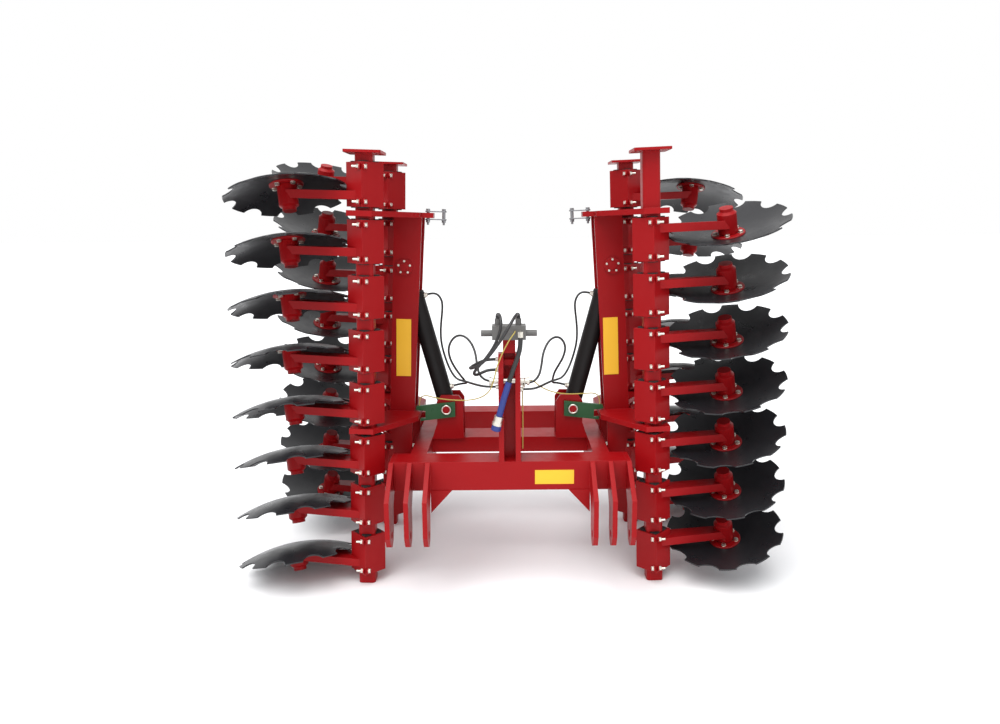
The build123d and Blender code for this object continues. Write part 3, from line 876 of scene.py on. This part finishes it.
# %% Ports and glands
PORT_PLACES = (0.095, 0.587)
PORT_OUT = 0.062
PORT_SUNK = 0.002
PORT_BOSS = {"radius": 0.014, "height": 0.010, "rim": 0.002}
PORT_ACROSS = 0.019
GLAND = {"radius": 0.049, "height": 0.030, "base": -0.030, "sides": 48, "rim": 0.004}
GLAND_LIFT = 0.0005


def cylinder_line(side):
    """The foot of a cylinder and the unit vectors along it and inboard, square to it."""
    base = Vector((side * BASE_PIN.x, BASE_PIN.y, BASE_PIN.z))
    top = on_wing(side, UPPER_PIN_IN, BASE_PIN.y, UPPER_PIN_ALONG)
    up = (top - base).normalized()
    inboard = Vector((-side * up.z, 0, side * up.x))
    return base, up, inboard


port_foot = BARREL_RADIUS - PORT_SUNK
nut_height = PORT_OUT - port_foot - PORT_BOSS["height"]
for wing, side in SIDES.items():
    base, up, inboard = cylinder_line(side)
    parts = []
    for place in PORT_PLACES:
        port = along(inboard, base + up * place + inboard * port_foot)
        parts.append(placed(disc_piece("boss", **PORT_BOSS), port))
        parts.append(placed(hexagon("nut", PORT_ACROSS, nut_height, base=PORT_BOSS["height"]), port))
    dress(join(parts, f"barrel_ports_{wing}"), ZINC, f"barrel_{wing}")
    gland = placed(disc_piece("gland", **GLAND), along(up, base + up * (BARREL_LENGTH + GLAND_LIFT)))
    dress(join([gland], f"barrel_gland_{wing}"), CYLINDER_BLACK, f"barrel_{wing}")

# %% [markdown]
# ## Headstock and valve fittings
#
# The hoses start from short hexagon fittings on the outer faces of the two cheeks, an elbow hangs the
# front hose from the valve, and the top link pin ends in two heads and a ring clip.

# %% Fittings of the hoses
CHEEK_FACE_X = 0.051
FITTINGS = {
    # side: the places (y, z) of the fittings on its cheek
    -1: ((-0.385, 1.002), (-0.412, 0.982), (-0.405, 1.062), (-0.385, 1.108)),
    1: ((-0.392, 0.993), (-0.425, 0.972)),
}
FITTING_SEAT = {"radius": 0.012, "height": 0.004, "rim": 0.001}
FITTING_NUT = {"across": 0.018, "height": 0.0095, "base": 0.0035}
ELBOW_STUB_FOOT = (0.052, -0.4346, 1.238)
ELBOW_STUB = {"radius": 0.011, "height": 0.038, "rim": 0.001}
ELBOW_NUT_TOP = (0.052, -0.4728, 1.250)
ELBOW_NUT = {"across": 0.024, "height": 0.026}
TOP_PIN_END = Vector((0.082, -0.4278, 1.013))
TOP_PIN_HEAD = {"radius": 0.020, "height": 0.010, "sides": 32, "rim": 0.002}
CLIP = {"major_radius": 0.022, "minor_radius": 0.0022, "major_segments": 32, "minor_segments": 8}
CLIP_PLACE = (0.071, -0.4278, 1.005)
ROPE_RING = {"major_radius": 0.009, "minor_radius": 0.003, "major_segments": 24, "minor_segments": 8}
ROPE_RING_PLACE = (0.062, -0.362, 0.960)

parts = []
for side, places in FITTINGS.items():
    for y, z in places:
        seat = along((side, 0, 0), (side * CHEEK_FACE_X, y, z))
        parts.append(placed(disc_piece("seat", **FITTING_SEAT), seat))
        parts.append(placed(hexagon("nut", **FITTING_NUT), seat))
dress(join(parts, "cheek_fittings"), ZINC, "root")

parts = [
    placed(disc_piece("stub", **ELBOW_STUB), along((0, -1, 0), ELBOW_STUB_FOOT)),
    placed(hexagon("down", **ELBOW_NUT), along((0, 0, -1), ELBOW_NUT_TOP)),
]
dress(join(parts, "front_hose_elbow"), ZINC, "root")

parts = []
for side in SIDES.values():
    end = Vector((side * TOP_PIN_END.x, TOP_PIN_END.y, TOP_PIN_END.z))
    parts.append(placed(disc_piece("head", **TOP_PIN_HEAD), along((side, 0, 0), end)))
bpy.ops.mesh.primitive_torus_add(**CLIP)
clip_turn = Matrix.Rotation(pi / 2, 4, "Y")
parts.append(placed(bpy.context.object, Matrix.Translation(CLIP_PLACE) @ clip_turn))
dress(join(parts, "top_pin_ends"), ZINC, "root")

start_fresh()
bpy.ops.mesh.primitive_torus_add(location=ROPE_RING_PLACE, **ROPE_RING)
dress(join([bpy.context.object], "rope_ring"), RED, "root")

# %% [markdown]
# ## Weld beads
#
# Where two plates meet there is a fillet weld. Its bead is a chain of small overlapping scales: here a
# half buried tube whose radius swells and shrinks from point to point.

# %% Lay weld beads
WELD_STEP = 0.006
WELD_RADIUS = 0.0042
WELD_THIN = 0.72


def weld(name, start, end, body):
    """A fillet weld from one point to another, half sunk in the corner."""
    start, end = Vector(start), Vector(end)
    count = max(4, int((end - start).length / WELD_STEP))
    curve = bpy.data.curves.new(name, "CURVE")
    curve.dimensions = "3D"
    curve.bevel_depth = WELD_RADIUS
    curve.bevel_resolution = 1
    curve.use_fill_caps = True
    spline = curve.splines.new("POLY")
    spline.points.add(count)
    for index, point in enumerate(spline.points):
        point.co = (*start.lerp(end, index / count), 1)
        point.radius = 1.0 if index % 2 else WELD_THIN
    piece = bpy.data.objects.new(name, curve)
    bpy.context.scene.collection.objects.link(piece)
    return dress(as_mesh(piece), RED, body)


CROSSBEAM_TOP = 0.633
CROSSBEAM_BOTTOM = 0.493
CHEEK_FACES_X = (0.027, 0.051)
CHEEK_WELD_DEPTH = 0.132
HITCH_PLATES_X = (0.388, 0.473)
HITCH_PLATE_HALF = 0.011
WELD_END_GAP = 0.004
RIBS_UP = (0.7805, 1.7805)
RIB_HALF = 0.0125
RIB_WELD_HALF = 0.036
RIB_WELD_ROWS = {"f": -0.3848, "r": 0.3422}
RIB_WELD_FACES = {"a": -0.0405, "b": 0.0405}

for letter, side in zip("lr", SIDES.values()):
    for face_x in CHEEK_FACES_X:
        weld(
            f"weld_cheek_{letter}_{round(face_x * 1000)}",
            (side * face_x, BEAM_FACE_Y + WELD_END_GAP, CROSSBEAM_TOP),
            (side * face_x, BEAM_FACE_Y + CHEEK_WELD_DEPTH, CROSSBEAM_TOP),
            "root",
        )
    for number, plate_x in enumerate(HITCH_PLATES_X):
        for edge, face_x in (("in", plate_x - HITCH_PLATE_HALF), ("out", plate_x + HITCH_PLATE_HALF)):
            weld(
                f"weld_hitch_{letter}_{number}_{edge}",
                (side * face_x, BEAM_FACE_Y, CROSSBEAM_BOTTOM + WELD_END_GAP),
                (side * face_x, BEAM_FACE_Y, CROSSBEAM_TOP - WELD_END_GAP),
                "root",
            )
for wing, side in SIDES.items():
    for up in [rib + half for rib in RIBS_UP for half in (-RIB_HALF, RIB_HALF)]:
        for row, row_y in RIB_WELD_ROWS.items():
            for face, face_y in RIB_WELD_FACES.items():
                weld(
                    f"weld_rib_{wing}_{round(up * 1000)}_{row}_{face}",
                    on_wing(side, -RIB_WELD_HALF, row_y + face_y, up),
                    on_wing(side, RIB_WELD_HALF, row_y + face_y, up),
                    f"wing_{wing}",
                )

# %% [markdown]
# ## Hoses and ropes
#
# A hose is a length of something stiff: it leaves its fitting straight, and every turn is wide. Each
# route below is a short list of given points, which a smooth NURBS line follows. Two black
# hoses run from the cheeks to the feet of the cylinders in a standing loop, two more pass behind the
# barrels to their upper ports, and two thicker ones come down from the top of the valve. The front
# hose hangs from the valve with a blue sleeve and a coupling. The ropes sag between their ends.

# %% Finishes for hoses and ropes
HOSE_BLACK = plain_finish(
    "hose black", light=(0.022, 0.022, 0.022), dark=(0.012, 0.012, 0.013), scale=60.0,
    roughness=(0.34, 0.50), metallic=0.0, bump_size=0.0002,
)
HOSE_BLUE = plain_finish(
    "hose blue", light=(0.018, 0.040, 0.230), dark=(0.012, 0.024, 0.150), scale=50.0,
    roughness=(0.34, 0.52), metallic=0.0, bump_size=0.0003,
)
ROPE_TAN = plain_finish(
    "rope", light=(0.62, 0.50, 0.12), dark=(0.40, 0.31, 0.08), scale=260.0, roughness=(0.70, 0.90),
    metallic=0.0, bump_size=0.0010,
)

# %% The routes
ROUTES = {
    # name: the points of the route, from where it leaves the machine
    "hose_loop_left": (
        (-0.064, -0.385, 1.002), (-0.104, -0.385, 1.002), (-0.140, -0.366, 1.025), (-0.154, -0.326, 1.065),
        (-0.160, -0.292, 1.115), (-0.178, -0.258, 1.159), (-0.209, -0.238, 1.193), (-0.246, -0.226, 1.201),
        (-0.280, -0.214, 1.177), (-0.300, -0.200, 1.129), (-0.294, -0.185, 1.077), (-0.272, -0.168, 1.027),
        (-0.244, -0.146, 0.980), (-0.224, -0.106, 0.944), (-0.220, -0.046, 0.919),
        (-0.2503, -0.0178, 0.9127),
        (-0.289, -0.0178, 0.9026),
    ),
    "hose_loop_right": (
        (0.064, -0.392, 0.993), (0.104, -0.392, 0.993), (0.140, -0.372, 1.021), (0.154, -0.332, 1.067),
        (0.162, -0.296, 1.119), (0.186, -0.264, 1.167), (0.220, -0.242, 1.191), (0.256, -0.228, 1.181),
        (0.278, -0.216, 1.137), (0.268, -0.200, 1.083), (0.245, -0.180, 1.037), (0.226, -0.152, 0.996),
        (0.220, -0.106, 0.952), (0.221, -0.046, 0.919), (0.2503, -0.0178, 0.9127), (0.289, -0.0178, 0.9026),
    ),
    "hose_feed_left": (
        (-0.064, -0.412, 0.982), (-0.106, -0.412, 0.982), (-0.144, -0.388, 0.984), (-0.178, -0.320, 0.978),
        (-0.210, -0.218, 0.965), (-0.242, -0.132, 0.953), (-0.268, -0.052, 0.943), (-0.294, 0.008, 0.953),
        (-0.320, 0.040, 0.993), (-0.340, 0.046, 1.051), (-0.354, 0.042, 1.113), (-0.356, 0.032, 1.175),
        (-0.350, 0.016, 1.233), (-0.342, 0.000, 1.285), (-0.339, -0.010, 1.322), (-0.342, -0.014, 1.348),
        (-0.357, -0.017, 1.375), (-0.3843, -0.0178, 1.3862), (-0.4133, -0.0178, 1.3786),
    ),
    "hose_feed_right": (
        (0.064, -0.425, 0.972), (0.106, -0.425, 0.972), (0.144, -0.398, 0.978), (0.178, -0.322, 0.977),
        (0.210, -0.218, 0.966), (0.242, -0.132, 0.955), (0.268, -0.052, 0.945), (0.294, 0.008, 0.955),
        (0.320, 0.040, 0.995), (0.340, 0.046, 1.053), (0.354, 0.042, 1.115), (0.355, 0.032, 1.177),
        (0.349, 0.016, 1.235), (0.341, 0.000, 1.286), (0.338, -0.010, 1.322), (0.342, -0.014, 1.348),
        (0.357, -0.017, 1.375), (0.3843, -0.0178, 1.3862), (0.4133, -0.0178, 1.3786),
    ),
    "hose_front": (
        (0.052, -0.4728, 1.224), (0.052, -0.4728, 1.188), (0.044, -0.479, 1.150), (0.030, -0.488, 1.112),
        (0.014, -0.494, 1.068), (-0.002, -0.498, 1.022), (-0.018, -0.499, 0.970), (-0.034, -0.498, 0.916),
        (-0.048, -0.497, 0.862),
    ),
    "hose_valve_left": (
        (-0.047, -0.410, 1.320), (-0.044, -0.440, 1.326), (-0.038, -0.475, 1.318), (-0.034, -0.496, 1.286),
        (-0.044, -0.498, 1.240), (-0.068, -0.496, 1.186), (-0.102, -0.492, 1.136), (-0.134, -0.486, 1.100),
        (-0.157, -0.474, 1.072), (-0.164, -0.452, 1.052), (-0.152, -0.430, 1.042), (-0.124, -0.412, 1.052),
        (-0.096, -0.405, 1.062), (-0.064, -0.405, 1.062),
    ),
    "hose_valve_right": (
        (0.039, -0.410, 1.320), (0.036, -0.442, 1.327), (0.024, -0.484, 1.316), (0.003, -0.514, 1.284),
        (-0.026, -0.526, 1.236), (-0.058, -0.528, 1.190), (-0.092, -0.526, 1.146), (-0.130, -0.518, 1.108),
        (-0.164, -0.500, 1.090), (-0.182, -0.470, 1.082), (-0.172, -0.438, 1.086), (-0.140, -0.408, 1.098),
        (-0.104, -0.388, 1.108), (-0.064, -0.385, 1.108),
    ),
    "rope_left": (
        (0.028, -0.4348, 1.246), (0.028, -0.462, 1.246), (0.008, -0.494, 1.226), (-0.014, -0.500, 1.190),
        (-0.038, -0.492, 1.140), (-0.058, -0.480, 1.084), (-0.072, -0.462, 1.022), (-0.090, -0.434, 0.968),
        (-0.128, -0.384, 0.926), (-0.182, -0.316, 0.896), (-0.244, -0.250, 0.878), (-0.313, -0.190, 0.868),
        (-0.375, -0.142, 0.866), (-0.430, -0.108, 0.874), (-0.463, -0.0938, 0.856),
        (-0.463, -0.0938, 0.8148),
    ),
    "rope_right": (
        (0.463, -0.0938, 0.8148), (0.463, -0.0938, 0.856), (0.432, -0.109, 0.878), (0.382, -0.146, 0.884),
        (0.320, -0.192, 0.892), (0.256, -0.242, 0.906), (0.198, -0.290, 0.930), (0.144, -0.332, 0.964),
        (0.116, -0.354, 0.998), (0.072, -0.365, 1.004), (0.062, -0.362, 0.960), (0.062, -0.363, 0.894),
        (0.063, -0.362, 0.814), (0.062, -0.363, 0.734), (0.062, -0.362, 0.664),
    ),
}

print("routes", len(ROUTES))

# %% [markdown]
# The hoses that end on a cylinder are turned into meshes with their place baked in; the points of
# their smooth line and their places from the table are worked out, but nothing uses them. The others
# stay curves and ride on the frame.

# %% Lay the hoses and ropes
HOSE_DIAMETER = 0.011
VALVE_DIAMETER = 0.014
FRONT_DIAMETER = 0.022
ROPE_DIAMETER = 0.0055
CORD_DETAIL = 4
LINE_DETAIL = 10
HOSE_FACTS = ("object", "medium", "loose", HOSE_BLACK)
Cord = namedtuple("Cord", "length diameter far_end stiffness lay finish", defaults=HOSE_FACTS)
CORDS = {
    "hose_loop_left": Cord(0.807, HOSE_DIAMETER),
    "hose_loop_right": Cord(0.776, HOSE_DIAMETER),
    "hose_feed_left": Cord(1.020, HOSE_DIAMETER),
    "hose_feed_right": Cord(1.028, HOSE_DIAMETER),
    "hose_front": Cord(0.379, FRONT_DIAMETER, "connector", "stiff", "hanging", HOSE_BLACK),
    "hose_valve_left": Cord(0.505, VALVE_DIAMETER),
    "hose_valve_right": Cord(0.580, VALVE_DIAMETER),
    "rope_left": Cord(0.922, ROPE_DIAMETER, "object", "limp", "hanging", ROPE_TAN),
    "rope_right": Cord(0.880, ROPE_DIAMETER, "bare", "limp", "hanging", ROPE_TAN),
}
BLENDS = {
    # name: where the hose begins to follow its barrel, and from where it follows it wholly
    "hose_loop": ((0.25, -0.300, 0.95), (0.25, -0.025, 0.95)),
    "hose_feed": ((0.27, -0.400, 0.95), (0.27, -0.025, 0.95)),
}


def tube(name, route, diameter, finish, detail=CORD_DETAIL):
    """A tube of one diameter along a smooth line that has the route as its control points."""
    curve = bpy.data.curves.new(name, "CURVE")
    curve.dimensions = "3D"
    curve.resolution_u = LINE_DETAIL
    spline = curve.splines.new("NURBS")
    spline.points.add(len(route) - 1)
    for point, place in zip(spline.points, route):
        point.co = (*place, 1)
    spline.order_u = 3
    spline.use_endpoint_u = True
    curve.bevel_depth = diameter / 2
    curve.bevel_resolution = detail
    curve.use_fill_caps = True
    curve.materials.append(finish)
    piece = bpy.data.objects.new(name, curve)
    bpy.context.scene.collection.objects.link(piece)
    return piece


def centreline(route):
    """The points that a smooth line along the route goes through."""
    line = as_mesh(tube("centreline", route, 0.0, HOSE_BLACK))
    places = [tuple(vertex.co) for vertex in line.data.vertices]
    drop(line)
    return places


for name, route in ROUTES.items():
    piece = tube(name, route, CORDS[name].diameter, CORDS[name].finish)
    kind, wing = name.rsplit("_", 1)
    if kind in BLENDS:
        centreline(route)
        start, end = [(SIDES[wing] * x, y, z) for x, y, z in BLENDS[kind]]
        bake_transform(as_mesh(piece))
    else:
        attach(piece, "root")

# %% Elbows on top of the valve and the plate between the cheeks
ELBOWS = {
    # name: a short bent tube, from the valve's top fitting to the start of its hose
    "valve_elbow_left": (
        (-0.052, -0.3898, 1.296), (-0.052, -0.3898, 1.314), (-0.050, -0.398, 1.319),
        (-0.047, -0.4105, 1.320),
    ),
    "valve_elbow_right": (
        (0.044, -0.3898, 1.296), (0.044, -0.3898, 1.314), (0.042, -0.398, 1.319),
        (0.039, -0.4105, 1.320),
    ),
}
ELBOW_DIAMETER = 0.020
CROSS_PLATE_SIZE = (0.0545, 0.012, 0.026)
CROSS_PLATE_PLACE = (0.0, -0.412, 1.098)

for name, route in ELBOWS.items():
    dress(as_mesh(tube(name, route, ELBOW_DIAMETER, HOSE_BLACK)), HOSE_BLACK, "root")
start_fresh()
bpy.ops.mesh.primitive_cube_add(size=1.0)
matrix = Matrix.Translation(CROSS_PLATE_PLACE) @ Matrix.Diagonal((*CROSS_PLATE_SIZE, 1.0))
dress(join([placed(bpy.context.object, matrix)], "cheek_cross_plate"), RED, "root")

# %% The blue sleeve and the coupling of the front hose
SLEEVE_FROM = 5
SLEEVE_DIAMETER = 0.030
SLEEVE_DETAIL = 6
COLLAR = {"radius": 0.021, "height": 0.030, "sides": 32, "rim": 0.003}
GRIP = {"radius": 0.024, "height": 0.014, "base": 0.030, "sides": 18, "rim": 0.003}
CAP = {"radius": 0.0225, "height": 0.024, "base": 0.0442, "sides": 32, "rim": 0.005}

front_route = ROUTES["hose_front"]
sleeve = tube("front_hose_sleeve", front_route[SLEEVE_FROM:], SLEEVE_DIAMETER, HOSE_BLUE, SLEEVE_DETAIL)
dress(sleeve, HOSE_BLUE, "root")
hang = (Vector(front_route[-1]) - Vector(front_route[-2])).normalized()
hose_end = along(hang, front_route[-1])
parts = [placed(disc_piece("collar", **COLLAR), hose_end), placed(disc_piece("grip", **GRIP), hose_end)]
coupling = dress(join(parts, "front_coupling"), ZINC, "root")
cap = join([placed(disc_piece("cap", **CAP), hose_end)], "front_coupling_cap")
dress(cap, HOSE_BLUE, "root")

print("cords", len(CORDS))
